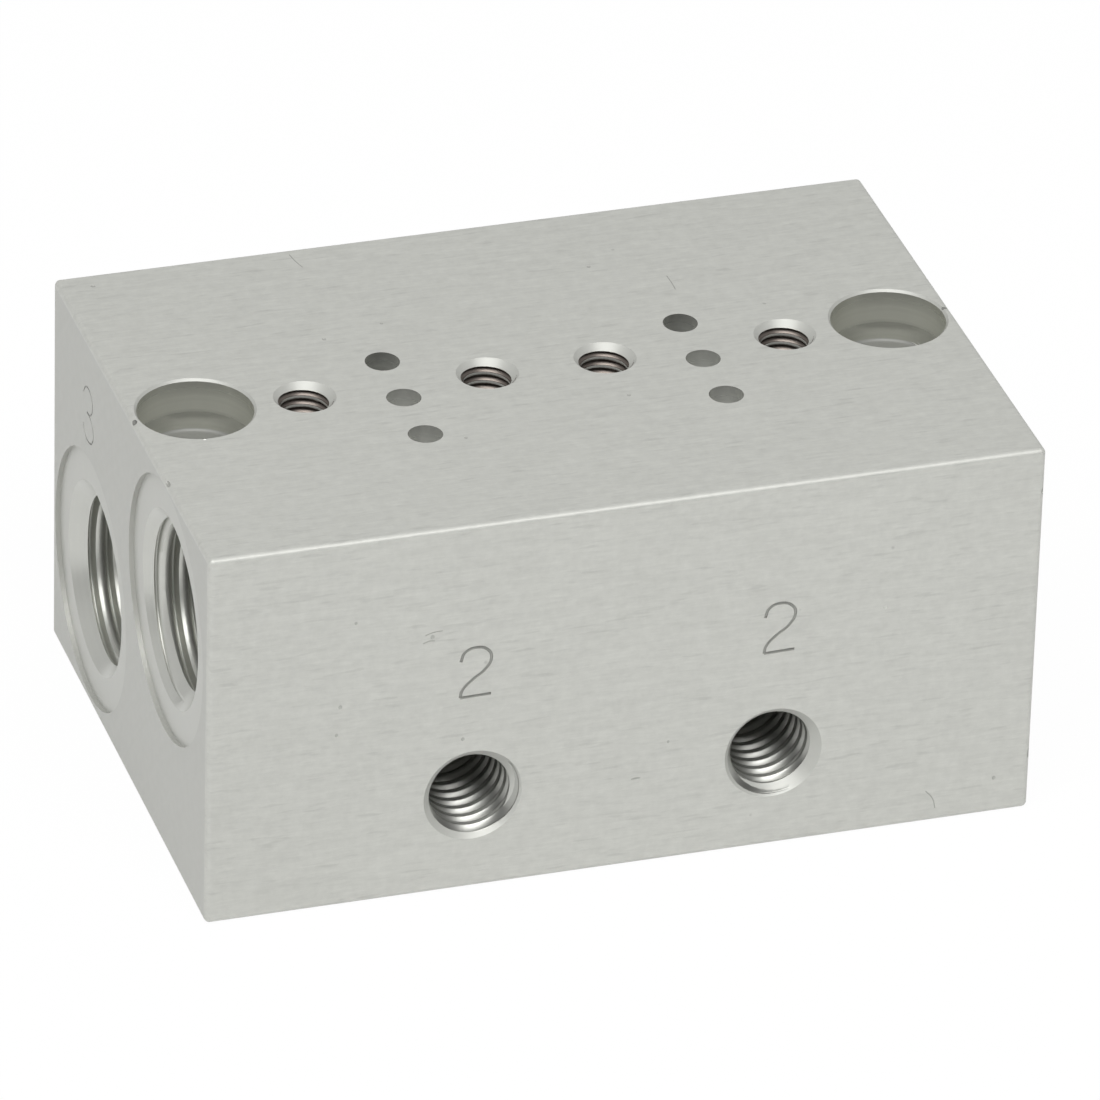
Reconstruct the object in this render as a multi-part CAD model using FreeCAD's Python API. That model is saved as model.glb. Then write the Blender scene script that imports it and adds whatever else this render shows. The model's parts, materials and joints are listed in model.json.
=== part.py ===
import FreeCAD, Part
import math
import os

from FreeCAD import Placement, Rotation, Vector

# Two-station manifold block for 15 mm direct-acting pilot valves, milled from one length of
# aluminium bar. Air comes in through a supply gallery, each valve passes it to its own outlet on
# the front face, and a second gallery collects the exhaust. The block is one solid.
#
# Millimetres. X runs along the block, Y from the outlet face (front) to the back, Z up.
# The origin is the centre of the underside.

# ---- the bar -------------------------------------------------------------------------------
WIDTH = 29.8                # front face to back face
HEIGHT = 21.3               # underside to valve face
EDGE_BREAK = 0.3            # radius tumbled onto all twelve outer edges

# ---- valve stations along X ----------------------------------------------------------------
STATION_COUNT = 2
STATION_PITCH = 16.0        # one 15 mm valve and 1 mm of air beside it
END_SPAN = 14.0             # outermost station centre to the end of the block

# ---- valve interface, seen from above, measured from the middle of the block ----------------
PASSAGE_DIAMETER = 1.8
PASSAGE_PITCH = 3.85        # exhaust, outlet and supply passages lie in a row along Y
OUTLET_PASSAGE_Y = -1.6     # the middle one of the three
VALVE_SCREW_SPACING = 9.7
VALVE_SCREW_Y = -0.25
VALVE_SCREW_BORE = 2.5      # M3 tapping drill
VALVE_SCREW_MOUTH = 3.24    # countersink
VALVE_SCREW_DEPTH = 7.0

# ---- screws that hold the block down ---------------------------------------------------------
MOUNTING_END_MARGIN = 3.45  # screw centre to the end of the block
HEAD_BORE = 6.0             # counterbore for an M3 cap head
HEAD_DEPTH = 3.0
HEAD_RIM = 0.12             # chamfer on the counterbore's rim
HEAD_FLOOR_RADIUS = 0.25    # left in the corner by the cutter
MOUNTING_BORE = 3.4         # M3 clearance
MOUNTING_EXIT_RIM = 0.2     # chamfer where the screw leaves the underside

# ---- galleries and the G 1/8 ports at both of their ends --------------------------------------
GALLERY_DIAMETER = 7.0
GALLERY_WALL = 1.0              # between the supply gallery and the outlet passages
SPOTFACE_TOP_MARGIN = 0.35      # from the supply spotface to the valve face
SPOTFACE_FOOT_MARGIN = 0.5      # from the exhaust spotface to the underside
SPOTFACE_BACK_MARGIN = 0.5      # and to the back
END_PORT_BORE = 8.6             # at the thread's crests
END_PORT_DEPTH = 9.5
END_PORT_MOUTH = 10.4           # countersink, on the floor of the spotface
SPOTFACE_DIAMETER = 14.0
SPOTFACE_DEPTH = 0.25

# ---- M5 outlets on the front face ---------------------------------------------------------------
OUTLET_RISE = 5.5               # axis above the underside
OUTLET_BORE = 4.2               # M5 tapping drill
OUTLET_DEPTH = 9.0
OUTLET_MOUTH = 5.2              # countersink
OUTLET_DRILLING = 3.0           # goes on from the tapped bore to the outlet passage

# ---- tools -----------------------------------------------------------------------------------------
DRILL_POINT = 118.0             # degrees, all drills
RUN_OUT = 1.0                   # how far a cutter starts outside the face it enters

# ---- sizes that follow from the ones above -----------------------------------------------------------
LENGTH = (STATION_COUNT - 1) * STATION_PITCH + 2 * END_SPAN
SUPPLY_PASSAGE_Y = OUTLET_PASSAGE_Y - PASSAGE_PITCH
EXHAUST_PASSAGE_Y = OUTLET_PASSAGE_Y + PASSAGE_PITCH
SUPPLY_GALLERY = (
    OUTLET_PASSAGE_Y - PASSAGE_DIAMETER / 2 - GALLERY_WALL - GALLERY_DIAMETER / 2,
    HEIGHT - SPOTFACE_DIAMETER / 2 - SPOTFACE_TOP_MARGIN,
)
EXHAUST_GALLERY = (
    WIDTH / 2 - SPOTFACE_DIAMETER / 2 - SPOTFACE_BACK_MARGIN,
    SPOTFACE_DIAMETER / 2 + SPOTFACE_FOOT_MARGIN,
)

UP = Vector(0, 0, 1)
DOWN = Vector(0, 0, -1)
TO_BACK = Vector(0, 1, 0)


def point_length(radius, inner_radius=0.0):
    """Height of the cone that a drill leaves between two radii."""
    return (radius - inner_radius) / math.tan(math.radians(DRILL_POINT / 2))


def turned_cutter(outline, mouth, inward):
    """Revolve an outline of (radius, depth) steps about the axis that enters at mouth."""
    first_depth, last_depth = outline[0][1], outline[-1][1]
    steps = [(0.0, first_depth)] + list(outline)
    if outline[-1][0] > 0:
        steps.append((0.0, last_depth))
    corners = [Vector(radius, 0, depth) for radius, depth in steps]
    half_section = Part.Face(Part.makePolygon(corners + corners[:1]))
    cutter = half_section.revolve(Vector(0, 0, 0), UP, 360)
    cutter.Placement = Placement(mouth, Rotation(UP, inward))
    return cutter


def countersunk_bore(mouth_diameter, bore_diameter, depth):
    """Outline of a drilled bore with a 90 degree countersink."""
    mouth_radius, bore_radius = mouth_diameter / 2, bore_diameter / 2
    return [
        (mouth_radius + RUN_OUT, -RUN_OUT),
        (bore_radius, mouth_radius - bore_radius),
        (bore_radius, depth),
    ]


def bar():
    """The sawn and milled bar, with its edges broken."""
    block = Part.makeBox(LENGTH, WIDTH, HEIGHT, Vector(-LENGTH / 2, -WIDTH / 2, 0))
    return block.makeFillet(EDGE_BREAK, block.Edges)


def station_centres():
    """X of each valve station."""
    first = -(STATION_COUNT - 1) * STATION_PITCH / 2
    return [first + index * STATION_PITCH for index in range(STATION_COUNT)]


def supply_passage(x):
    """Straight down into the supply gallery."""
    gallery_z = SUPPLY_GALLERY[1]
    outline = [(PASSAGE_DIAMETER / 2, -RUN_OUT), (PASSAGE_DIAMETER / 2, HEIGHT - gallery_z)]
    return turned_cutter(outline, Vector(x, SUPPLY_PASSAGE_Y, HEIGHT), DOWN)


def outlet_passage(x):
    """Straight down between the galleries, to the drilling that comes from the outlet port."""
    outline = [(PASSAGE_DIAMETER / 2, -RUN_OUT), (PASSAGE_DIAMETER / 2, HEIGHT - OUTLET_RISE)]
    return turned_cutter(outline, Vector(x, OUTLET_PASSAGE_Y, HEIGHT), DOWN)


def exhaust_passage(x):
    """Slanted down and back, aimed at the axis of the exhaust gallery."""
    mouth = Vector(x, EXHAUST_PASSAGE_Y, HEIGHT)
    target = Vector(x, *EXHAUST_GALLERY)
    run = target - mouth
    outline = [(PASSAGE_DIAMETER / 2, -RUN_OUT), (PASSAGE_DIAMETER / 2, run.Length)]
    return turned_cutter(outline, mouth, run.normalize())


def valve_screw_hole(x):
    """Blind, tapped M3, with a countersunk mouth."""
    outline = countersunk_bore(VALVE_SCREW_MOUTH, VALVE_SCREW_BORE, VALVE_SCREW_DEPTH)
    outline.append((0.0, VALVE_SCREW_DEPTH + point_length(VALVE_SCREW_BORE / 2)))
    return turned_cutter(outline, Vector(x, VALVE_SCREW_Y, HEIGHT), DOWN)


def outlet_port(x):
    """Tapped M5 from the front, stepping down to the drilling that meets the outlet passage."""
    bore_radius, drilling_radius = OUTLET_BORE / 2, OUTLET_DRILLING / 2
    to_passage = OUTLET_PASSAGE_Y + PASSAGE_DIAMETER / 2 + WIDTH / 2
    outline = countersunk_bore(OUTLET_MOUTH, OUTLET_BORE, OUTLET_DEPTH) + [
        (drilling_radius, OUTLET_DEPTH + point_length(bore_radius, drilling_radius)),
        (drilling_radius, to_passage),
        (0.0, to_passage + point_length(drilling_radius)),
    ]
    return turned_cutter(outline, Vector(x, -WIDTH / 2, OUTLET_RISE), TO_BACK)


def end_port(gallery, side):
    """Spotfaced and tapped G 1/8 port that opens a gallery at one end of the block."""
    bore_radius, gallery_radius = END_PORT_BORE / 2, GALLERY_DIAMETER / 2
    mouth_radius, spotface_radius = END_PORT_MOUTH / 2, SPOTFACE_DIAMETER / 2
    step_depth = END_PORT_DEPTH + point_length(bore_radius, gallery_radius)
    outline = [
        (spotface_radius, -RUN_OUT),
        (spotface_radius, SPOTFACE_DEPTH),
        (mouth_radius, SPOTFACE_DEPTH),
        (bore_radius, SPOTFACE_DEPTH + mouth_radius - bore_radius),
        (bore_radius, END_PORT_DEPTH),
        (gallery_radius, step_depth),
        (gallery_radius, LENGTH / 2),
    ]
    return turned_cutter(outline, Vector(side * LENGTH / 2, *gallery), Vector(-side, 0, 0))


def mounting_hole(x):
    """Counterbored for an M3 cap head, right through the block."""
    head_radius, bore_radius = HEAD_BORE / 2, MOUNTING_BORE / 2
    corner = HEAD_FLOOR_RADIUS
    arc_middle = corner * (1 - math.sqrt(0.5))
    top = [
        Vector(0, 0, -RUN_OUT),
        Vector(head_radius + HEAD_RIM + RUN_OUT, 0, -RUN_OUT),
        Vector(head_radius, 0, HEAD_RIM),
        Vector(head_radius, 0, HEAD_DEPTH - corner),
    ]
    floor_start = Vector(head_radius - corner, 0, HEAD_DEPTH)
    below = [
        floor_start,
        Vector(bore_radius, 0, HEAD_DEPTH),
        Vector(bore_radius, 0, HEIGHT - MOUNTING_EXIT_RIM),
        Vector(bore_radius + MOUNTING_EXIT_RIM + RUN_OUT, 0, HEIGHT + RUN_OUT),
        Vector(0, 0, HEIGHT + RUN_OUT),
        top[0],
    ]
    corner_middle = Vector(head_radius - arc_middle, 0, HEAD_DEPTH - arc_middle)
    corner_arc = Part.Arc(top[-1], corner_middle, floor_start).toShape()
    sides = [Part.LineSegment(a, b).toShape() for a, b in zip(top, top[1:])]
    rest = [Part.LineSegment(a, b).toShape() for a, b in zip(below, below[1:])]
    half_section = Part.Face(Part.Wire(sides + [corner_arc] + rest))
    cutter = half_section.revolve(Vector(0, 0, 0), UP, 360)
    cutter.Placement = Placement(Vector(x, 0, HEIGHT), Rotation(UP, DOWN))
    return cutter


def station_cutters(x):
    """Everything that one valve needs."""
    half_spacing = VALVE_SCREW_SPACING / 2
    return [
        supply_passage(x),
        outlet_passage(x),
        exhaust_passage(x),
        outlet_port(x),
        valve_screw_hole(x - half_spacing),
        valve_screw_hole(x + half_spacing),
    ]


def manifold_block():
    cutters = []
    for x in station_centres():
        cutters += station_cutters(x)
    for side in (-1, 1):
        cutters.append(end_port(SUPPLY_GALLERY, side))
        cutters.append(end_port(EXHAUST_GALLERY, side))
        cutters.append(mounting_hole(side * (LENGTH / 2 - MOUNTING_END_MARGIN)))
    block = bar().cut(cutters)
    solids = block.Solids
    print(f"manifold_block: {len(solids)} solid, {block.Volume:.1f} mm3, valid {block.isValid()}")
    return solids[0]


os.makedirs("parts", exist_ok=True)
manifold_block().exportStep("parts/manifold_block.step")
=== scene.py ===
# %% [markdown]
# # A machined manifold block
# The object is one solid piece of aluminium: a bar, brushed along its length, with galleries and
# ports drilled into it and threads cut in the ports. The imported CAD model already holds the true
# block with every bore. What it leaves to this file is what the eye looks for at close range:
# the helical threads, the engraved port numerals and the finish that each tool leaves.

# %% Load the CAD model
import json
import math

import bpy
from mathutils import Matrix, Vector


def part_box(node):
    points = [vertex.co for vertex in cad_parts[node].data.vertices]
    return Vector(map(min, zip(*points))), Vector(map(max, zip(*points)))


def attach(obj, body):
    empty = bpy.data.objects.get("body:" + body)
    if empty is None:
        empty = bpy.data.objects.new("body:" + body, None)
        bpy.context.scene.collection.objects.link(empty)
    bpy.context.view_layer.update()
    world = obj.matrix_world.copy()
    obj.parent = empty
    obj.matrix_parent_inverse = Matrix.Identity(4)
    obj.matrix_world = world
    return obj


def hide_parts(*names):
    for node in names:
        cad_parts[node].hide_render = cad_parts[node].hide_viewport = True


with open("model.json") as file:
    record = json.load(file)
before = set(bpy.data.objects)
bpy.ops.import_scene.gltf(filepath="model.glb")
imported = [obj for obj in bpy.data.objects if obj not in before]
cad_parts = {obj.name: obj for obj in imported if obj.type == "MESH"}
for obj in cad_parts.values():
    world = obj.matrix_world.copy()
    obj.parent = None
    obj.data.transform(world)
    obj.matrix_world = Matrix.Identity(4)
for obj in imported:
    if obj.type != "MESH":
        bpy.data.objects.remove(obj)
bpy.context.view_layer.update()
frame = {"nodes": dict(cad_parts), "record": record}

MM = 0.001                  # one millimetre in metres, the unit of the frame
TURN = 2 * math.pi

mounts = {mount["name"]: mount for mount in frame["record"]["mounts"]}
low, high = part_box("manifold_block")
print("block, mm:", [round(side / MM, 2) for side in high - low])

# %% [markdown]
# ## Small helpers
# Operators act on whatever is selected, so each step first says which object it means. Faces,
# edges and corners are picked by a test on their place, which keeps working when a size changes.

# %% Selection helpers
def only(piece):
    """Select one object and nothing else."""
    bpy.ops.object.select_all(action="DESELECT")
    piece.select_set(True)
    bpy.context.view_layer.objects.active = piece
    return piece


def edit_corners(piece, wanted):
    """Enter edit mode with just the corners chosen that pass a test on their place."""
    only(piece)
    for corner in piece.data.vertices:
        corner.select = wanted(corner.co)
    for edge in piece.data.edges:
        edge.select = all(piece.data.vertices[index].select for index in edge.vertices)
    for face in piece.data.polygons:
        face.select = all(piece.data.vertices[index].select for index in face.vertices)
    bpy.ops.object.mode_set(mode="EDIT")
    bpy.ops.mesh.select_mode(type="VERT")


def edit_all(piece):
    """Enter edit mode with every corner chosen."""
    edit_corners(piece, lambda place: True)


def leave_edit():
    bpy.ops.object.mode_set(mode="OBJECT")


# %% [markdown]
# A finished mesh keeps its place in its own corners, and its object stays at the origin. The
# patterns of the materials then lie still on it. Modifiers are applied as soon as they are set.

# %% Place and modifier helpers
def settle(piece, matrix):
    """Move a mesh to its place and leave the object itself at the origin."""
    only(piece)
    piece.matrix_world = matrix
    bpy.ops.object.transform_apply(location=True, rotation=True, scale=True)
    return piece


def apply_modifier(piece, kind, **values):
    """Add a modifier, set its values and apply it."""
    only(piece)
    modifier = piece.modifiers.new(kind.lower(), kind)
    for name, value in values.items():
        setattr(modifier, name, value)
    bpy.ops.object.modifier_apply(modifier=modifier.name)


# %% [markdown]
# ## The block itself
# A CAD mesh arrives as loose triangles. A copy with its doubled corners merged is one closed
# skin, which is what a Boolean needs to cut it. The copy takes the place of the CAD node.

# %% Merged copy of the block
MERGE_DISTANCE = 0.0005 * MM

only(frame["nodes"]["manifold_block"])
bpy.ops.object.duplicate()
block = bpy.context.active_object
block.name = "block_with_threads"
block.parent = None
edit_all(block)
bpy.ops.mesh.remove_doubles(threshold=MERGE_DISTANCE)
leave_edit()
bpy.ops.mesh.customdata_custom_splitnormals_clear()
block.data.materials.clear()
for key in list(block.keys()):      # notes that belong to the CAD node, not to its copy
    del block[key]
print("merged block:", len(block.data.vertices), "corners")

# %% [markdown]
# ## Threads
# A tap leaves a V-shaped groove that winds down the bore, and the crests between its turns are
# what is left of the bore wall. Plain rings would be simpler, but the slant of the turns and the
# way that the groove runs out through the countersink show at a glance, so it is a real helix.
#
# The sizes are the standard ones: G 1/8 in the end ports, M5 in the outlets and M3 for the valve
# screws.

# %% Thread sizes
class Thread:
    """One standard thread, in millimetres and degrees. Shares are parts of the pitch."""

    def __init__(
        self, pitch, root_radius, flank_angle, crest_share, root_share, crest_rounding, depth, steps,
    ):
        self.pitch = pitch * MM
        self.root_radius = root_radius * MM
        self.slope = math.tan(math.radians(flank_angle))
        self.crest_share = crest_share
        self.root_share = root_share
        self.crest_rounding = crest_rounding * MM
        self.depth = depth * MM
        self.steps = steps          # flat sides in one turn


PIPE_THREAD = Thread(
    pitch=0.907, root_radius=4.864, flank_angle=27.5, crest_share=0.42, root_share=0.14,
    crest_rounding=0.09, depth=8.0, steps=72,
)
OUTLET_THREAD = Thread(
    pitch=0.8, root_radius=2.5, flank_angle=30, crest_share=0.4, root_share=0.125,
    crest_rounding=0.05, depth=7.4, steps=56,
)
SCREW_THREAD = Thread(
    pitch=0.5, root_radius=1.5, flank_angle=30, crest_share=0.4, root_share=0.125,
    crest_rounding=0.03, depth=6.0, steps=36,
)
for label, thread in (("pipe", PIPE_THREAD), ("outlet", OUTLET_THREAD), ("screw", SCREW_THREAD)):
    print(label, "thread:", round(thread.depth / thread.pitch, 1), "turns deep")

# %% [markdown]
# ### Section of the groove
# The section is drawn for each hole from its thread and its bore. It starts as a plane that
# stands on the bore wall. Its inner edge is extruded into the bore and widened, which leaves
# the crests with rounded shoulders, and its outer edge is narrowed to the root and beveled. The
# edge that the extrusion leaves inside the section is dissolved, because it would be wound into
# a wall inside the coil, and a Boolean needs a tool without inner walls.

# %% Section of the groove
INSIDE_BORE = 0.02 * MM     # the coil starts this far inside the crests
SHOULDER_SLOPE = 1.8        # how fast the rounded shoulders of a crest widen the groove
ROOT_BEVEL = 0.4            # part of the root's width that is rounded at each corner


def groove_section(name, thread, bore_radius):
    """The section of the groove, as one face in the XZ plane at the bore wall."""
    start = bore_radius - INSIDE_BORE
    shoulder = bore_radius + thread.crest_rounding
    flank_height = thread.root_radius - shoulder
    middle = shoulder + flank_height / 2
    neck_width = thread.pitch * (1 - thread.crest_share) - 2 * thread.crest_rounding * thread.slope
    root_width = max(neck_width - 2 * flank_height * thread.slope, thread.pitch * thread.root_share)
    mouth_width = neck_width + 2 * (shoulder - start) * SHOULDER_SLOPE
    bpy.ops.mesh.primitive_plane_add(size=1, rotation=(math.pi / 2, 0, 0))
    section = bpy.context.active_object
    section.name = name
    section.scale = (flank_height, neck_width, 1)
    section.location = (middle, 0, 0)
    bpy.ops.object.transform_apply(location=True, rotation=True, scale=True)
    edit_corners(section, lambda place: place.x < middle)
    bpy.ops.mesh.select_mode(type="EDGE")
    bpy.ops.mesh.extrude_region_move(TRANSFORM_OT_translate={"value": (start - shoulder, 0, 0)})
    bpy.ops.transform.resize(value=(1, 1, mouth_width / neck_width), center_override=(0, 0, 0))
    bpy.ops.mesh.select_all(action="SELECT")
    bpy.ops.mesh.dissolve_faces(use_verts=False)
    leave_edit()
    edit_corners(section, lambda place: place.x > middle)
    bpy.ops.transform.resize(value=(1, 1, root_width / neck_width), center_override=(0, 0, 0))
    bpy.ops.mesh.bevel(offset=root_width * ROOT_BEVEL, segments=3, affect="VERTICES")
    leave_edit()
    return section


# %% [markdown]
# ### The coil
# A Screw modifier winds the section down the axis, and the two open ends are filled, so that the
# coil is closed. Cutting it from the block leaves the thread, with its crests on the bore wall.
# The first turn lies in the air in front of the hole, so that the groove runs out through the
# countersink.

# %% One coil
def thread_coil(name, thread, bore_radius, start_turn):
    """A closed coil about +Z, which starts one pitch in front of a mouth at z = 0."""
    coil = groove_section(name, thread, bore_radius)
    turns = math.ceil((thread.depth + thread.pitch) / thread.pitch)
    apply_modifier(
        coil, "SCREW", axis="Z", angle=TURN, screw_offset=thread.pitch, iterations=turns,
        steps=thread.steps, render_steps=thread.steps, use_merge_vertices=False,
    )
    edit_all(coil)
    bpy.ops.mesh.fill_holes(sides=0)
    bpy.ops.mesh.normals_make_consistent(inside=False)
    leave_edit()
    turned = Matrix.Rotation(start_turn * TURN, 4, "Z")
    return settle(coil, Matrix.Translation((0, 0, -thread.pitch)) @ turned)


def aim(place, inward):
    """A matrix that puts +Z along inward at a place."""
    return Matrix.Translation(place) @ inward.to_track_quat("Z", "Y").to_matrix().to_4x4()


# %% [markdown]
# ### Coils in the ports
# The record gives the place, the axis and the bore of each port, so the coils follow the CAD
# model. Each groove starts at its own point of the circle, as on a part that was tapped by hand
# or by a machine that doesn't line its taps up.

# %% Coils in the ports
SUPPLY_START, EXHAUST_START, OUTLET_START = 0.1, 0.6, 0.3       # in turns
coils = []


def thread_mount(name, thread, start_turn):
    """Wind a coil down a threaded port of the record, from the outer face inwards."""
    mount = mounts[name]
    outward = Vector(mount["axis"])
    place = Vector(mount["pos_m"])
    reach = abs((high if sum(outward) > 0 else low).dot(outward)) - abs(place.dot(outward))
    mouth = place + outward * reach
    coil = thread_coil(name + "_coil", thread, mount["dims"]["r_mm"] * MM, start_turn)
    coils.append(settle(coil, aim(mouth, -outward)))


for side in ("left", "right"):
    thread_mount(f"supply_port_{side}", PIPE_THREAD, SUPPLY_START)
    thread_mount(f"exhaust_port_{side}", PIPE_THREAD, EXHAUST_START)
for number in (1, 2):
    thread_mount(f"outlet_port_{number}", OUTLET_THREAD, OUTLET_START * number)
print("coils in the ports:", len(coils))

# %% [markdown]
# ### Coils in the valve screw holes
# Each valve is held by a pair of screws. The record names the pair and its spacing, so the two
# coils of a pair stand half a spacing to the left and right of its middle.

# %% Coils in the valve screw holes
SCREW_START = 0.35          # in turns

for number in (1, 2):
    pattern = mounts[f"valve_screws_{number}"]
    centre = Vector(pattern["pos_m"])
    half_spacing = pattern["dims"]["spacing_x_mm"] * MM / 2
    bore_radius = pattern["dims"]["hole_r_mm"] * MM
    for end in (-1, 1):
        mouth = Vector((centre.x + end * half_spacing, centre.y, high.z))
        coil = thread_coil(f"valve_screw_coil_{number}_{end}", SCREW_THREAD, bore_radius, SCREW_START)
        coils.append(settle(coil, aim(mouth, Vector((0, 0, -1)))))
print("all coils:", len(coils), "corners:", sum(len(coil.data.vertices) for coil in coils))

# %% [markdown]
# ## Places in millimetres
# All the patterns read Object coordinates turned into millimetres, so a line spacing in a material
# is the spacing on the real part. A node group holds each effect that several materials use.

# %% Group and node helpers
def new_group(name, inputs, outputs):
    """A shader node group with named number or vector inputs and named outputs."""
    group = bpy.data.node_groups.new(name, "ShaderNodeTree")
    for label, kind, value in inputs:
        socket = group.interface.new_socket(label, in_out="INPUT", socket_type=kind)
        socket.default_value = value
    for label, kind in outputs:
        group.interface.new_socket(label, in_out="OUTPUT", socket_type=kind)
    return group, group.nodes.new("NodeGroupInput"), group.nodes.new("NodeGroupOutput")


def node(tree, kind, settings=None, **inputs):
    """Add a node, set its options, and set or link each input by its name."""
    made = tree.nodes.new("ShaderNode" + kind)
    for option, value in (settings or {}).items():
        setattr(made, option, value)
    for label, value in inputs.items():
        feed(tree, made, label.replace("_", " "), value)
    return made


def feed(tree, made, label, value):
    """Set or link one input, by its name, or by its number as in slot0."""
    socket = made.inputs[int(label[4:])] if label.startswith("slot") else made.inputs[label]
    if isinstance(value, bpy.types.NodeSocket):
        tree.links.new(value, socket)
    else:
        socket.default_value = value


# %% [markdown]
# Most patterns are sums of a few noises, so these four helpers keep the sums short to read.

# %% Arithmetic and noise helpers
MEAN_NOISE = 0.5


def calculate(tree, operation, first, second=0.0, third=0.0, clamp=False):
    """One step of arithmetic."""
    settings = {"operation": operation, "use_clamp": clamp}
    return node(tree, "Math", settings, slot0=first, slot1=second, slot2=third).outputs[0]


def place_in_mm(tree, stretch=(1, 1, 1)):
    """Object coordinates in millimetres, with each axis stretched."""
    place = node(tree, "TexCoord").outputs["Object"]
    scale = [factor / MM for factor in stretch]
    return node(tree, "Mapping", Vector=place, Scale=scale).outputs[0]


def noise(tree, vector, scale=1.0, detail=2.0, roughness=0.5, distortion=0.0):
    """Soft random values about MEAN_NOISE."""
    made = node(
        tree, "TexNoise", Vector=vector, Scale=scale, Detail=detail, Roughness=roughness,
        Distortion=distortion,
    )
    return made.outputs[0]


def spread(tree, value, low_end, high_end, to_low=0.0, to_high=1.0):
    """Map a range of a value to another range, without going past its ends."""
    made = node(
        tree, "MapRange", slot0=value, slot1=low_end, slot2=high_end, slot3=to_low, slot4=to_high,
    )
    return made.outputs[0]


# %% [markdown]
# ## Brushed lines
# The bar was brushed along its length before it was anodised. That leaves fine lines a millimetre
# or two long and a few deeper dashes. Real grooves would need millions of faces, so the lines are
# noise, stretched along X, that tints the colour and moves the normal.

# %% Brushed lines
FLOAT = "NodeSocketFloat"
HEIGHT_AND_TONE = [("Height", FLOAT), ("Tone", FLOAT)]
FINE_LINES = (0.8, 6.0, 6.0)            # per mm, along the bar and across it
COARSE_LINES = (0.32, 2.2, 2.2)
DASHES = (0.55, 4.0, 4.0)
DASH_NOISE = (0.36, 0.27)               # from clear to dashed
COARSE_SHARE = 0.45
DASH_DEPTH = 0.35
MEAN_LINE = 0.72                        # taken off, so that the tone lies about zero


def brushed_lines():
    """Fine lines along X, with a few deeper dashes among them."""
    group, _, result = new_group("brushed_lines", [], HEIGHT_AND_TONE)
    fine = noise(group, place_in_mm(group, FINE_LINES), detail=3.0, roughness=0.65, distortion=0.2)
    coarse = noise(group, place_in_mm(group, COARSE_LINES), distortion=0.3)
    dashes = spread(group, noise(group, place_in_mm(group, DASHES), detail=1.0), *DASH_NOISE)
    lines = calculate(group, "MULTIPLY_ADD", coarse, COARSE_SHARE, fine)
    lines = calculate(group, "MULTIPLY_ADD", dashes, -DASH_DEPTH, lines)
    group.links.new(lines, result.inputs["Height"])
    group.links.new(calculate(group, "SUBTRACT", lines, MEAN_LINE), result.inputs["Tone"])
    return group


BRUSHED = brushed_lines()
print("brushed lines:", len(BRUSHED.nodes), "nodes")

# %% [markdown]
# ## Lines left by a turning tool
# A drill or a cutter that turns leaves rings, evenly spaced but never perfectly so. One noise
# along a single distance draws them all. The distance is the depth in a bore or the radius on a
# floor, and a slow drift keeps the rings from looking ruled.

# %% Lines left by a turning tool
RINGS_PER_MM = 6.0
DRIFT = 1.5


def turned_lines():
    """Rings at even steps of a distance, such as the depth in a bore or the radius on a floor."""
    inputs = [("Distance", FLOAT, 0.0), ("Per mm", FLOAT, RINGS_PER_MM)]
    group, given, result = new_group("turned_lines", inputs, HEIGHT_AND_TONE)
    drift = noise(group, place_in_mm(group), scale=0.5, detail=1.0)
    steps = calculate(group, "MULTIPLY", given.outputs["Distance"], given.outputs["Per mm"])
    wandering = calculate(group, "MULTIPLY_ADD", drift, DRIFT, steps)
    line = {"noise_dimensions": "1D"}
    rings = node(group, "TexNoise", line, W=wandering, Scale=1.0, Detail=2.0).outputs[0]
    group.links.new(rings, result.inputs["Height"])
    group.links.new(calculate(group, "SUBTRACT", rings, MEAN_NOISE), result.inputs["Tone"])
    return group


TURNED = turned_lines()
print("turned lines:", len(TURNED.nodes), "nodes")

# %% [markdown]
# ## Grain of the anodised skin
# An anodised skin is never quite even: it has a slight mottle, and here and there a dark pit. The
# mottle is noise. The pits are the middles of Voronoi cells, and only the few cells with a high
# random number get one.

# %% Grain of the anodised skin
MOTTLE_PER_MM = 1.6
CELLS_PER_MM = 0.42
PIT_EDGE = (0.05, 0.02)         # from clear to dark, in parts of a cell
PITTED_CELLS = (0.72, 0.74)     # the random number above which a cell is pitted


def anodised_grain():
    """A slight mottle and rare pits, which every anodised surface shares."""
    group, _, result = new_group("anodised_grain", [], [("Tone", FLOAT), ("Pits", FLOAT)])
    mottle = noise(group, place_in_mm(group, [MOTTLE_PER_MM] * 3), detail=4.0, roughness=0.7)
    place = place_in_mm(group, [CELLS_PER_MM] * 3)
    cells = node(group, "TexVoronoi", Vector=place, Scale=1.0, Randomness=1.0)
    chance = node(group, "SeparateColor", Color=cells.outputs["Color"]).outputs[0]
    near = spread(group, cells.outputs["Distance"], *PIT_EDGE)
    rare = spread(group, chance, *PITTED_CELLS)
    group.links.new(calculate(group, "SUBTRACT", mottle, MEAN_NOISE), result.inputs["Tone"])
    group.links.new(calculate(group, "MULTIPLY", near, rare), result.inputs["Pits"])
    return group


GRAIN = anodised_grain()
print("anodised grain:", len(GRAIN.nodes), "nodes")

# %% [markdown]
# ## Materials
# Everything is the same anodised aluminium, so all materials share one colour and one builder. They differ
# in the marks that the last tool left, in how rough it left the surface, and in a shade, which in most
# materials is painted light and shade. Marks come from a function that puts out a height, which moves the
# normal, and a tone, which tints the colour.

# %% The shared builder
SKIN = (0.55, 0.555, 0.52)
WHITE = (1.0, 1.0, 1.0)
TONE_TO_ROUGHNESS = 0.12
finishes = {}


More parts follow.
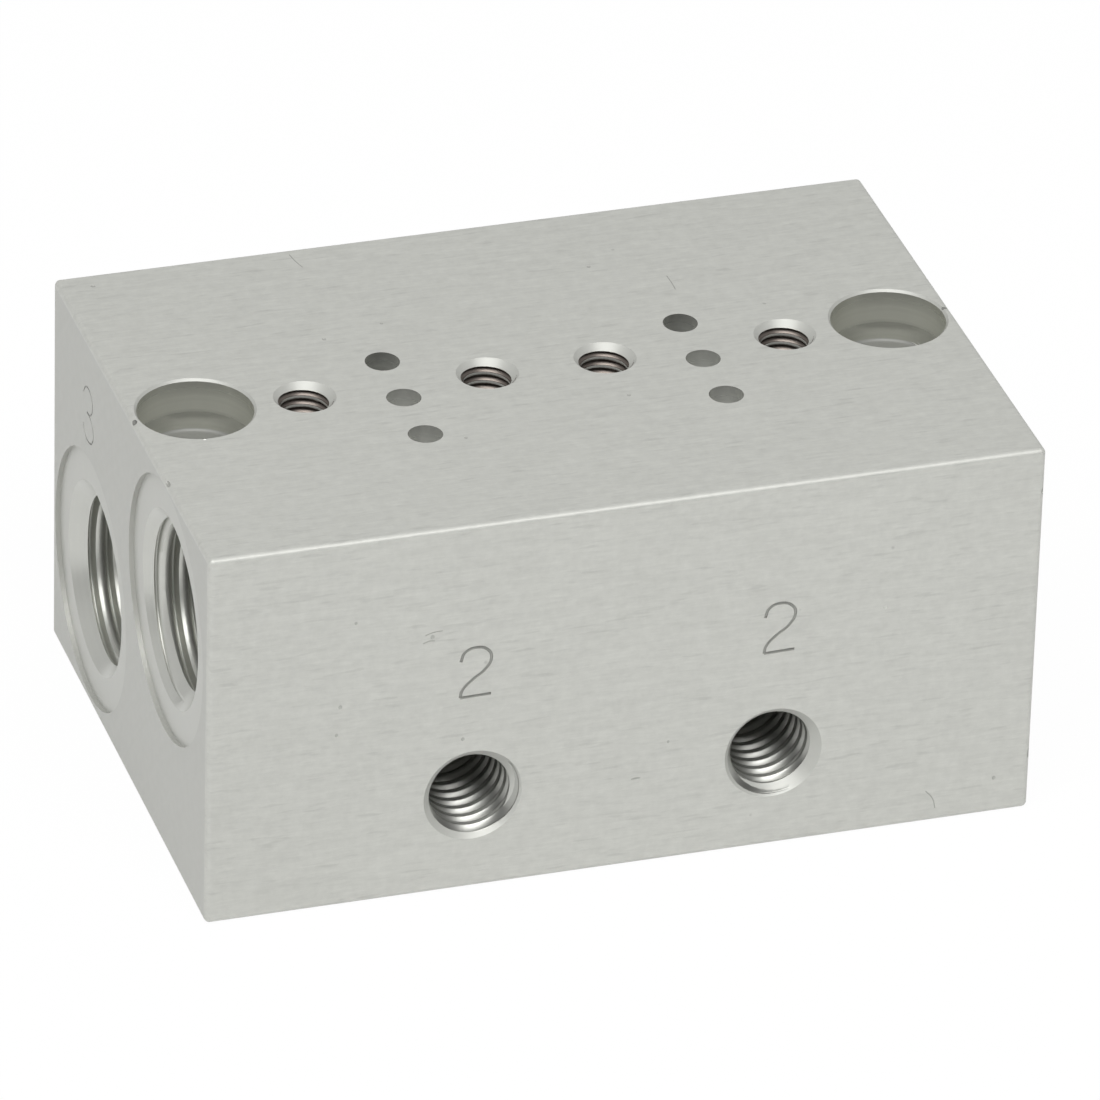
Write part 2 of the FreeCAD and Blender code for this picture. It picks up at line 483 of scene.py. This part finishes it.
def aluminium(
    name, marks, roughness, tone_depth=0.0, mark_height=0.0, shade=1.0, tint=WHITE, mottle=0.05,
    pits=0.0, metallic=0.5,
):
    """Anodised aluminium with the marks of one tool. It becomes the block's next material."""
    material = bpy.data.materials.new(name)
    material.use_nodes = True
    tree = material.node_tree
    shader = tree.nodes["Principled BSDF"]
    grain = node(tree, "Group", {"node_tree": GRAIN})
    height, tone = marks(tree)
    brightness = calculate(tree, "MULTIPLY_ADD", tone, tone_depth, 1.0)
    brightness = calculate(tree, "MULTIPLY_ADD", grain.outputs["Tone"], mottle, brightness)
    brightness = calculate(tree, "MULTIPLY_ADD", grain.outputs["Pits"], -pits, brightness)
    colour = node(tree, "VectorMath", {"operation": "SCALE"}, Scale=brightness)
    colour.inputs[0].default_value = [channel * shade * share for channel, share in zip(SKIN, tint)]
    tree.links.new(colour.outputs[0], shader.inputs["Base Color"])
    dullness = calculate(tree, "MULTIPLY_ADD", tone, TONE_TO_ROUGHNESS, roughness)
    tree.links.new(dullness, shader.inputs["Roughness"])
    bump = node(tree, "Bump", Height=height, Distance=mark_height * MM, Strength=1.0)
    tree.links.new(bump.outputs["Normal"], shader.inputs["Normal"])
    shader.inputs["Metallic"].default_value = metallic
    finishes[name] = material
    block.data.materials.append(material)


# %% [markdown]
# ## Marks of each tool
# A tapped or countersunk surface looks plain, the outer faces are brushed, and whatever a drill or
# a cutter made has rings. Rings need a distance: along the axis in a bore, and from the middle of
# the cutter's path on a floor.

# %% Plain, brushed and ringed surfaces
def plain(tree):
    """No marks at all, as on a tapped or countersunk surface."""
    return 0.0, 0.0


def brushed(tree):
    """The lines of the brushed bar."""
    lines = node(tree, "Group", {"node_tree": BRUSHED})
    return lines.outputs["Height"], lines.outputs["Tone"]


def rings(tree, distance, per_mm):
    """Rings at even steps of a distance."""
    made = node(tree, "Group", {"node_tree": TURNED}, Distance=distance, Per_mm=per_mm)
    return made.outputs["Height"], made.outputs["Tone"]


def rings_along(axis, per_mm):
    """Rings at even steps along an axis, as in a bore."""
    def marks(tree):
        place = node(tree, "SeparateXYZ", Vector=place_in_mm(tree))
        return rings(tree, place.outputs[axis], per_mm)
    return marks


# %% [markdown]
# The counterbores and the air passages come down from the top face. Their walls get painted shade: darker
# close to the rim, and darker again below a depth of about two millimetres.

# %% Bores from the top face
LOWER_SHADE = 2.2
LOWER_SHADE_DEPTHS = (1.7, 2.0)      # mm below the top face, from clear to full painted shade
RIM_SHADE_DEPTHS = (1.0, 0.0)         # mm below the top face, from clear to full painted shade at the rim


def drilled_down(per_mm, rim_shade):
    """Rings down a bore from the top face, with painted shade at the rim and below a depth."""
    def marks(tree):
        place = node(tree, "SeparateXYZ", Vector=place_in_mm(tree))
        height, tone = rings(tree, place.outputs["Z"], per_mm)
        depth = calculate(tree, "SUBTRACT", high.z / MM, place.outputs["Z"])
        # painted shade: darker below a depth, then darker again close to the rim
        tone = calculate(tree, "MULTIPLY_ADD", spread(tree, depth, *LOWER_SHADE_DEPTHS), -LOWER_SHADE, tone)
        tone = calculate(tree, "MULTIPLY_ADD", spread(tree, depth, *RIM_SHADE_DEPTHS), -rim_shade, tone)
        return height, tone
    return marks


# %% [markdown]
# A spotface, a counterbore's floor and a countersink show rings about the middle of their hole.
# Where several holes share a material, each point takes the rings of the nearest hole. The axis
# that the cutter pointed along is flattened first, so that only the distance across it counts.

# %% Floors that a cutter faced
CUT_ALONG_X, CUT_ALONG_Z = (0, 1, 1), (1, 1, 0)     # what is left of a place, seen along the axis


def rings_about(centres, seen, per_mm, mirrored=False):
    """Rings about the nearest of some centres; a mirrored one stands at both ends."""
    def marks(tree):
        across = {"operation": "MULTIPLY"}
        place = node(tree, "VectorMath", across, slot0=place_in_mm(tree), slot1=seen)
        if mirrored:
            place = node(tree, "VectorMath", {"operation": "ABSOLUTE"}, slot0=place.outputs[0])
        nearest = None
        for centre in centres:
            away = {"operation": "DISTANCE"}
            away = node(tree, "VectorMath", away, slot0=place.outputs[0], slot1=centre)
            distance = away.outputs["Value"]
            nearest = distance if nearest is None else calculate(tree, "MINIMUM", nearest, distance)
        return rings(tree, nearest, per_mm)
    return marks


port_centres = [
    [0.0, mounts[name]["pos_m"][1] / MM, mounts[name]["pos_m"][2] / MM]
    for name in ("supply_port_left", "exhaust_port_left")
]
head_centre = [mounts["mounting_screws"]["dims"]["spacing_x_mm"] / 2, 0.0, 0.0]
print("port centres:", [[round(side, 2) for side in centre] for centre in port_centres])
print("screw head centre:", [round(side, 2) for side in head_centre])

# %% [markdown]
# ## Finish of the outer faces
# The long faces keep the brushed skin of the bar. The two ends look milled, with faint wide arcs about a
# point far outside the block, which is the middle of a cutter much larger than the end. They are also a
# little darker, which is painted shade.

# %% Outer faces
END_CUTTER_CENTRE = [0.0, -40.0, -30.0]

aluminium(
    "brushed_face", brushed, roughness=0.5, tone_depth=0.24, mark_height=0.002,
    mottle=0.22, pits=0.2, metallic=0.35,
)
# The shade of 0.87 is painted shade on both ends.
aluminium(
    "milled_end", rings_about([END_CUTTER_CENTRE], CUT_ALONG_X, per_mm=2.5),
    roughness=0.48, tone_depth=0.03, mark_height=0.0006, shade=0.87, mottle=0.12, metallic=0.35,
)
print("finishes so far:", list(finishes))

# %% [markdown]
# ## Finish of floors and cones
# The spotfaces and port cones were cut with a sharp tool and are the brightest places. The port cones also
# get a slightly lighter colour, a painted highlight, and the countersinks of the small holes a slightly
# darker one, a painted shade. The floor of a counterbore gets a much darker shade, which is painted shade
# at the bottom of the hole.

# %% Floors and cones
aluminium(
    "faced_floor", rings_about(port_centres, CUT_ALONG_X, per_mm=7.0),
    roughness=0.45, tone_depth=0.06, mark_height=0.001, shade=0.94, metallic=0.4,
)
aluminium(
    # shade 0.42: painted shade on the floor at the bottom of the counterbore
    "head_floor", rings_about([head_centre], CUT_ALONG_Z, per_mm=6.0, mirrored=True),
    roughness=0.5, tone_depth=0.1, mark_height=0.001, shade=0.42, metallic=0.3,
)
aluminium(
    # shade 1.05: a painted highlight on the port cones
    "port_cone", rings_about(port_centres, CUT_ALONG_X, per_mm=7.0),
    roughness=0.32, tone_depth=0.04, mark_height=0.0008, shade=1.05,
)
# shade 0.93: painted shade on the countersinks of the small holes
aluminium("countersink", plain, roughness=0.5, shade=0.93, metallic=0.3)
print("finishes so far:", list(finishes))

# %% [markdown]
# ## Finish of the bores
# A drilled wall has fine rings along its axis, so there is one material for each direction. The bores from
# the top face have their own two, because their walls can be seen from above. Their shades are painted
# light and shade: the bores along X and Y are painted darker than the faces, and the walls of the bores
# from the top face lighter, the passages most.

# %% Bores
# shade 0.85: painted shade in the bores along X and Y
aluminium(
    "bore_along_x", rings_along("X", per_mm=5.0),
    roughness=0.35, tone_depth=0.1, mark_height=0.001, shade=0.85,
)
aluminium(
    "bore_along_y", rings_along("Y", per_mm=6.0),
    roughness=0.35, tone_depth=0.1, mark_height=0.001, shade=0.85,
)
# shades above 1: painted light on the walls of the bores from the top face
aluminium(
    "bore_along_z", drilled_down(per_mm=6.0, rim_shade=2.6),
    roughness=0.42, tone_depth=0.1, mark_height=0.001, shade=1.08, tint=(1.0, 1.0, 0.95),
)
aluminium(
    "passage_wall", drilled_down(per_mm=6.0, rim_shade=3.0),
    roughness=0.42, tone_depth=0.1, mark_height=0.001, shade=1.2,
)
print("finishes so far:", list(finishes))

# %% [markdown]
# ## Finish of threads, numerals and wear
# The flanks of a thread shine more like bare metal than the anodised faces do. Their shades are painted
# light and shade: the port threads are painted lighter, the outlet threads darker, and the valve screw
# holes darkest of all and slightly brown. Engraved lines and pits are dull and darker.

# %% Threads, numerals and wear
# shade 1.12: painted light in the port threads
aluminium("port_flank", plain, roughness=0.45, shade=1.12, metallic=0.9)
# shades 0.74 and 0.36: painted shade in the outlet threads and the valve screw holes
aluminium("outlet_flank", plain, roughness=0.36, shade=0.74, metallic=1.0)
aluminium("screw_flank", plain, roughness=0.38, shade=0.36, tint=(1.0, 0.86, 0.82), metallic=0.9)
aluminium("numeral", plain, roughness=0.5, shade=0.68)
aluminium("wear", plain, roughness=0.5, shade=0.8)
aluminium("dent", plain, roughness=0.6, shade=0.36, metallic=0.2)
print("all finishes:", len(finishes))

# %% [markdown]
# ## Where a face lies
# The block is one mesh, so each face is told its finish from its place and its normal. The tests
# below each know one kind of place, and their sizes are in millimetres. Faces picked one by one
# would be lost as soon as a size in the CAD model changes.

# %% Tests on the outer faces and on cones
SKIN_GAP = 0.001            # a face this close to the box lies on its skin
EDGE_GAP = 0.305            # a face this close to two sides of the box is on a rounded edge
CONE = (0.6, 0.8)           # least and greatest part of a 45 degree normal along its axis
PORT_CONE_DEPTH, OUTLET_CONE_DEPTH, SCREW_CONE_DEPTH = 1.3, 0.6, 0.4


def insets(place):
    """How far a place lies inside the ends, the sides, and the top and underside, least first."""
    return sorted((
        high.x / MM - abs(place.x),
        high.y / MM - abs(place.y),
        min(place.z, high.z / MM - place.z),
    ))


def cone_finish(place, out):
    """The finish of the cone at the mouth of a hole, or nothing."""
    if not CONE[0] < max(abs(side) for side in out) < CONE[1]:
        return None
    if abs(place.x) > high.x / MM - PORT_CONE_DEPTH and abs(out.x) > CONE[0]:
        return "port_cone"
    if place.y < low.y / MM + OUTLET_CONE_DEPTH and out.y < -CONE[0]:
        return "countersink"
    if place.z > high.z / MM - SCREW_CONE_DEPTH and out.z > CONE[0]:
        return "countersink"
    return None


# %% [markdown]
# A wall in a hole looks towards the hole's axis. That tells the wall of a counterbore from a
# thread or a passage that runs close by.

# %% Tests inside the holes
ALONG_WALL = 0.9            # how squarely a wall looks at the axis of its hole
HEAD_RADIUS = 3.1
HEAD_FLOOR_DEPTH, HEAD_FLOOR_GAP, HEAD_FLOOR_TILT = 2.87, 0.14, 0.1
PORT_RADIUS = 4.31


def from_head(place):
    """The way across from the axis of the mounting hole at this end."""
    return Vector((abs(place.x) - head_centre[0], place.y))


def in_head_wall(place, out):
    away = from_head(place)
    towards = Vector((math.copysign(out.x, out.x * place.x), out.y))
    return away.length < HEAD_RADIUS and away.dot(towards) < -ALONG_WALL * away.length


def on_head_floor(place, out):
    off_floor = abs(place.z - (high.z / MM - HEAD_FLOOR_DEPTH))
    inside = from_head(place).length < HEAD_RADIUS
    return inside and off_floor < HEAD_FLOOR_GAP and out.z > HEAD_FLOOR_TILT


def in_port_bore(place, out):
    _, y, z = min(port_centres, key=lambda centre: abs(place.y - centre[1]))
    return math.hypot(place.y - y, place.z - z) < PORT_RADIUS and abs(out.x) < ALONG_WALL


# %% [markdown]
# The order of the tests matters. The outer faces are settled first, then the places with a clear
# shape of their own, and what remains are the drillings inside the block.

# %% Give each face its finish
END_FACE = 0.99             # how squarely a face looks along the block
SPOTFACE_GAP = 0.3
OUTLETS_TOP, OUTLETS_BACK = 8.0, 0.5
PASSAGES_END = 15.0


def zone(face):
    """The finish of a face, from its place and the way that it looks."""
    place, out = face.center / MM, face.normal
    nearest, second, _ = insets(place)
    if nearest < SKIN_GAP:
        return "milled_end" if abs(out.x) > END_FACE else "brushed_face"
    if second < EDGE_GAP:
        return "brushed_face"
    if in_head_wall(place, out):
        return "bore_along_z"
    if cone_finish(place, out):
        return cone_finish(place, out)
    if abs(place.x) > high.x / MM - SPOTFACE_GAP:
        return "faced_floor"
    if on_head_floor(place, out):
        return "head_floor"
    if in_port_bore(place, out):
        return "bore_along_x"
    if place.z < OUTLETS_TOP and place.y < OUTLETS_BACK:
        return "bore_along_y"
    return "passage_wall" if abs(place.x) < PASSAGES_END else "bore_along_z"


slots = {label: index for index, label in enumerate(finishes)}
for face in block.data.polygons:
    face.material_index = slots[zone(face)]
print("finishes on the bare block:", len({face.material_index for face in block.data.polygons}))

# %% [markdown]
# ## Cut the threads
# All coils are joined and cut in one Boolean, which is quicker than ten. The new faces take the
# material of the coil that cut them, so a thread brings its own finish with it.

# %% Cut the threads
def cut(piece, tools, name):
    """Join the tools, subtract them in one Boolean and throw them away."""
    only(tools[0])
    for tool in tools:
        tool.select_set(True)
    bpy.ops.object.join()
    tool = bpy.context.active_object
    tool.name = name
    apply_modifier(
        piece, "BOOLEAN", operation="DIFFERENCE", object=tool, solver="MANIFOLD",
        material_mode="TRANSFER",
    )
    bpy.data.objects.remove(tool)
    print("after", name + ":", len(piece.data.polygons), "faces")


flanks = {
    "supply": "port_flank", "exhaust": "port_flank", "outlet": "outlet_flank", "valve": "screw_flank",
}
for coil in coils:
    coil.data.materials.append(finishes[flanks[coil.name.split("_")[0]]])
cut(block, coils, "thread_tools")

# %% [markdown]
# ## Port numerals
# The numerals are engraved with a round-nosed cutter that runs once along each stroke. A bezier
# curve with a round section is that cutter's path, and the Boolean leaves its groove.

# %% Strokes
ROUND_SIDES = 2             # extra sides in each quarter of the section
CURVE_STEPS = 8             # straight steps between two points of the path


def stroke(name, points, radius, to_face, finish):
    """A round tube through some points on a face; to_face puts its x and y on the face."""
    bpy.ops.object.select_all(action="DESELECT")
    bpy.ops.curve.primitive_bezier_curve_add()
    path = bpy.context.active_object
    path.name = name
    line = path.data.splines[0]
    line.bezier_points.add(len(points) - len(line.bezier_points))
    for knot, place in zip(line.bezier_points, points):
        knot.co = Vector((place[0], place[1], 0)) * MM
        knot.handle_left_type = knot.handle_right_type = "AUTO"
    path.data.bevel_depth = radius * MM
    path.data.bevel_resolution = ROUND_SIDES
    path.data.resolution_u = CURVE_STEPS
    path.data.use_fill_caps = True
    bpy.ops.object.convert(target="MESH")
    tube = bpy.context.active_object
    edit_all(tube)
    bpy.ops.mesh.remove_doubles(threshold=MERGE_DISTANCE)
    bpy.ops.mesh.normals_make_consistent(inside=False)
    leave_edit()
    tube.data.materials.clear()
    tube.data.materials.append(finishes[finish])
    only(tube)
    bpy.ops.object.shade_flat()
    return settle(tube, to_face)


def on_face(right, up, corner, depth=0.0):
    """A matrix whose x and y run right and up a face from a corner, and whose z looks out of it."""
    right, up = Vector(right), Vector(up)
    out = right.cross(up)
    turn = Matrix((right, up, out)).transposed().to_4x4()
    return Matrix.Translation(Vector(corner) - out * depth * MM) @ turn


# %% [markdown]
# Each numeral is a few strokes in millimetres, from its own lower left corner. The "2" is an arc
# and a foot, and the "3" is two bows that meet in the middle. The one on the left end was
# engraved more lightly than the two on the front.

# %% Numerals
TWO = [
    [
        (0.0, 2.1), (0.2, 2.62), (0.82, 2.85), (1.45, 2.6), (1.6, 2.1),
        (1.28, 1.5), (0.62, 0.98), (0.1, 0.42), (0.0, 0.0),
    ],
    [(0.0, 0.0), (1.62, 0.04)],
]
THREE = [
    [(0.05, 2.45), (0.45, 2.95), (1.1, 3.1), (1.7, 2.75), (1.78, 2.2), (1.35, 1.72), (0.7, 1.6)],
    [(0.7, 1.6), (1.45, 1.5), (1.98, 0.95), (1.75, 0.3), (1.05, 0.0), (0.4, 0.12), (0.0, 0.6)],
]
DEEP, SHALLOW = 0.085, 0.05     # radius of the line on the front and on the left end
SUNK = 0.01                     # how far the middle of the line lies under the face
RIGHT, BACK, LEFTWARD, UP = (1, 0, 0), (0, 1, 0), (0, -1, 0), (0, 0, 1)

numerals = [
    ("two_left", TWO, DEEP, on_face(RIGHT, UP, (-8.8 * MM, low.y, 11.35 * MM), SUNK)),
    ("two_right", TWO, DEEP, on_face(RIGHT, UP, (7.28 * MM, low.y, 11.5 * MM), SUNK)),
    ("three", THREE, SHALLOW, on_face(LEFTWARD, UP, (low.x, 8.95 * MM, 15.45 * MM), SUNK)),
]
for name, strokes, radius, to_face in numerals:
    for index, points in enumerate(strokes):
        cut(block, [stroke(f"{name}_{index}", points, radius, to_face, "numeral")], name)

# %% [markdown]
# ## Marks of wear
# The block has been handled: small pits, a dented edge and a few short scratches. Each pit is the
# cut of a small flattened ball. A ball on an edge leaves a dent in it.

# %% One pit
def ball(place, size, finish="wear"):
    """A small stretched ball, centred on a face or an edge, that leaves a pit there."""
    bpy.ops.mesh.primitive_ico_sphere_add(subdivisions=3, radius=1)
    made = only(bpy.context.active_object)
    made.data.materials.append(finishes[finish])
    scale = Matrix.Diagonal((*(side * MM for side in size), 1))
    return settle(made, Matrix.Translation(Vector(place) * MM) @ scale)


PIT_DEPTH = 0.03
PIT_STRETCH = 1.2           # pits are a little longer one way than the other
front, top, right_end, left_end = low.y / MM, high.z / MM, high.x / MM, low.x / MM
front_pits = [      # x, z and radius
    (-15.08, 11.78, 0.1), (-15.25, 10.16, 0.09), (-14.34, 16.57, 0.08), (-10.32, 15.15, 0.11),
    (-8.6, 8.9, 0.09), (2.33, 7.05, 0.07), (20.06, 2.1, 0.1),
]
top_pits = [        # x, y and radius
    (-10.24, 5.22, 0.1), (-6.93, 6.06, 0.08), (5.2, 9.13, 0.1), (12.84, 3.11, 0.09),
    (3.17, -4.26, 0.1), (-6.13, -6.34, 0.09),
]
pits = [ball((x, front, z), (radius, PIT_DEPTH, radius * PIT_STRETCH)) for x, z, radius in front_pits]
pits += [ball((x, y, top), (radius, radius * PIT_STRETCH, PIT_DEPTH)) for x, y, radius in top_pits]
print("small pits:", len(pits))

# %% [markdown]
# The larger marks differ from each other, so each has its own size. Three are dents in the top
# edge and in the rim of a counterbore, two sit on the front edge of the right end, and two bright
# nicks have no skin left on them.

# %% Larger marks
marks_of_use = [
    ((0.66, front, 5.1), (0.26, 0.04, 0.08), "wear"),
    ((-20.24, 13.6, top), (0.14, 0.12, 0.03), "wear"),
    ((left_end + 0.1, -0.5, top - 0.05), (0.16, 0.22, 0.16), "dent"),
    ((left_end + 0.1, -6.9, top - 0.06), (0.12, 0.3, 0.12), "wear"),
    ((right_end - 0.05, front + 0.1, 18.84), (0.14, 0.16, 0.2), "wear"),
    ((right_end - 0.05, front + 0.1, 3.24), (0.14, 0.16, 0.3), "wear"),
    ((21.62, 0.3, top), (0.3, 0.12, 0.08), "dent"),
    ((-18.95, -3.12, top), (0.15, 0.1, 0.1), "port_cone"),
    ((13.71, front, 13.28), (0.13, 0.03, 0.09), "port_cone"),
]
pits += [ball(place, size, finish) for place, size, finish in marks_of_use]
cut(block, pits, "pits")

# %% [markdown]
# ### Scratches
# A scratch is a very thin stroke that lies half in the face, so the engraver's function makes
# these as well. There are two on the top face and three on the front.

# %% Scratches
SCRATCH_RADIUS = 0.025

on_top = on_face(RIGHT, BACK, (0, 0, high.z))
on_front = on_face(RIGHT, UP, (0, low.y, 0))
scratches = [
    ([(-9.5, 14.3), (-9.38, 13.5), (-9.2, 12.8)], on_top),
    ([(8.84, 7.2), (8.86, 6.4), (8.84, 5.7)], on_top),
    ([(16.37, 1.87), (16.75, 1.4), (16.92, 0.77)], on_front),
    ([(-10.7, 15.3), (-10.3, 15.42), (-9.8, 15.45)], on_front),
    ([(-10.8, 14.85), (-10.45, 14.95), (-10.2, 14.93)], on_front),
]
for index, (points, to_face) in enumerate(scratches):
    cut(block, [stroke(f"scratch_{index}", points, SCRATCH_RADIUS, to_face, "wear")], "scratch")

# %% [markdown]
# ## Shading of the block
# Edges under 40 degrees are shaded round and the rest stay sharp. Weighted normals then keep the
# large flat faces flat right up to the small radius on the block's edges.

# %% Smooth and weight
SHARPEST_ROUND = math.radians(40)

only(block)
bpy.ops.object.shade_smooth_by_angle(angle=SHARPEST_ROUND)
apply_modifier(block, "WEIGHTED_NORMAL", keep_sharp=True, weight=100)
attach(block, "root")
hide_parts("manifold_block")
print("finished block:", len(block.data.polygons), "faces")

# %% [markdown]
# ## Table
# The block stands on a white table. What the lens and the metal see of the table is white, and the
# rest of its light comes from the lamp and the sky, so that it keeps a shadow. It lies a hair
# under the block and is clear from below, so that the underside of the block can be looked at.

# %% Table
TABLE_SIZE = 4
TABLE_GAP = 0.05 * MM
TABLE_WHITE, TABLE_ROUGHNESS = 0.9, 0.9
TABLE_GLOW = 0.97           # how much of what is seen of the table is its own white

bpy.ops.object.select_all(action="DESELECT")
bpy.ops.mesh.primitive_plane_add(size=TABLE_SIZE, location=(0, 0, -TABLE_GAP))
table = bpy.context.active_object
table.name = "table"
white = bpy.data.materials.new("white_table")
white.use_nodes = True
tree = white.node_tree
matt = tree.nodes["Principled BSDF"]
matt.inputs["Base Color"].default_value = (TABLE_WHITE, TABLE_WHITE, TABLE_WHITE, 1)
matt.inputs["Roughness"].default_value = TABLE_ROUGHNESS
matt.inputs["Specular IOR Level"].default_value = 0.0
ray = node(tree, "LightPath")
seen = calculate(tree, "ADD", ray.outputs["Is Camera Ray"], ray.outputs["Is Glossy Ray"])
seen = calculate(tree, "ADD", seen, ray.outputs["Is Transmission Ray"], clamp=True)
glow = node(tree, "Emission", Strength=1.0)
share = calculate(tree, "MULTIPLY", seen, TABLE_GLOW)
mix = node(tree, "MixShader", slot0=share, slot1=matt.outputs[0], slot2=glow.outputs[0])
below = node(tree, "NewGeometry").outputs["Backfacing"]
clear = node(tree, "BsdfTransparent")
one_sided = node(tree, "MixShader", slot0=below, slot1=mix.outputs[0], slot2=clear.outputs[0])
tree.links.new(one_sided.outputs[0], tree.nodes["Material Output"].inputs["Surface"])
table.data.materials.append(white)
print("table, mm across:", round(TABLE_SIZE / MM))

# %% [markdown]
# ## Sky
# The light around the block is a plain gradient. It is bright overhead, behind and at both ends,
# and dark low in front, so that the walls of the bores stay darker than the faces. An even white
# sky would fill the holes with light.

# %% Sky
SKY_LEAN = 0.6                          # how much the back and the ends count against the height
SKY_HEIGHTS = (0.4, 1.0)
SKY_STRENGTHS = (0.06, 0.52)

world = bpy.data.worlds.new("studio")
bpy.context.scene.world = world
world.use_nodes = True
tree = world.node_tree
sky = node(tree, "SeparateXYZ", Vector=node(tree, "TexCoord").outputs["Generated"])
leaning = calculate(tree, "MULTIPLY_ADD", sky.outputs["Y"], SKY_LEAN, sky.outputs["Z"])
sideways = calculate(tree, "ABSOLUTE", sky.outputs["X"])
leaning = calculate(tree, "MULTIPLY_ADD", sideways, SKY_LEAN, leaning)
level = spread(tree, leaning, *SKY_HEIGHTS, *SKY_STRENGTHS)
tree.links.new(level, tree.nodes["Background"].inputs["Strength"])
tree.nodes["Background"].inputs["Color"].default_value = (1.0, 1.0, 1.0, 1)
print("sky strength from", SKY_STRENGTHS[0], "to", SKY_STRENGTHS[1])

# %% [markdown]
# ## Lamp
# One wide softbox stands in front of the block and above it. Its light gives the bright line on
# the top front edge and the highlights in the threads, with one soft shadow behind.

# %% Lamp
KEY_PLACE = Vector((-0.12, -0.36, 0.58))
KEY_SIZE = (0.8, 0.35)
KEY_WATTS = 5.0

bpy.ops.object.light_add(type="AREA", location=KEY_PLACE)
key = bpy.context.active_object
key.name = "key"
key.data.shape = "RECTANGLE"
key.data.size, key.data.size_y = KEY_SIZE
key.data.energy = KEY_WATTS
middle_of_block = Vector((0, 0, high.z / 2))
key.rotation_euler = (middle_of_block - KEY_PLACE).to_track_quat("-Z", "Y").to_euler()
print("lamp, mm from the block:", round((middle_of_block - KEY_PLACE).length / MM))

# %% [markdown]
# ## Camera
# A long lens looks from the front left and above. Azimuth is counted from the front, towards
# the right, and the roll leans the picture a little, so that the block stands at its own angle.

# %% Camera
CAMERA_AZIMUTH = -18.03
CAMERA_ELEVATION = 30.43
CAMERA_ROLL = 1.68
CAMERA_DISTANCE = 570.4 * MM
AIM_POINT = Vector((0.46, -0.35, 10.33)) * MM
LENS, SENSOR_WIDTH = 361.5, 36          # both in millimetres
NEAREST_SEEN = 0.01

azimuth, elevation = math.radians(CAMERA_AZIMUTH), math.radians(CAMERA_ELEVATION)
back = Vector((
    math.sin(azimuth) * math.cos(elevation), -math.cos(azimuth) * math.cos(elevation), math.sin(elevation),
))
bpy.ops.object.camera_add()
camera = bpy.context.active_object
camera.matrix_world = (
    Matrix.Translation(AIM_POINT + back * CAMERA_DISTANCE)
    @ back.to_track_quat("Z", "Y").to_matrix().to_4x4()
    @ Matrix.Rotation(math.radians(CAMERA_ROLL), 4, "Z")
)
camera.data.lens = LENS
camera.data.sensor_width = SENSOR_WIDTH
camera.data.clip_start = NEAREST_SEEN
bpy.context.scene.camera = camera
bpy.context.scene.view_settings.view_transform = "Standard"
print("field of view, degrees:", round(math.degrees(camera.data.angle), 2))
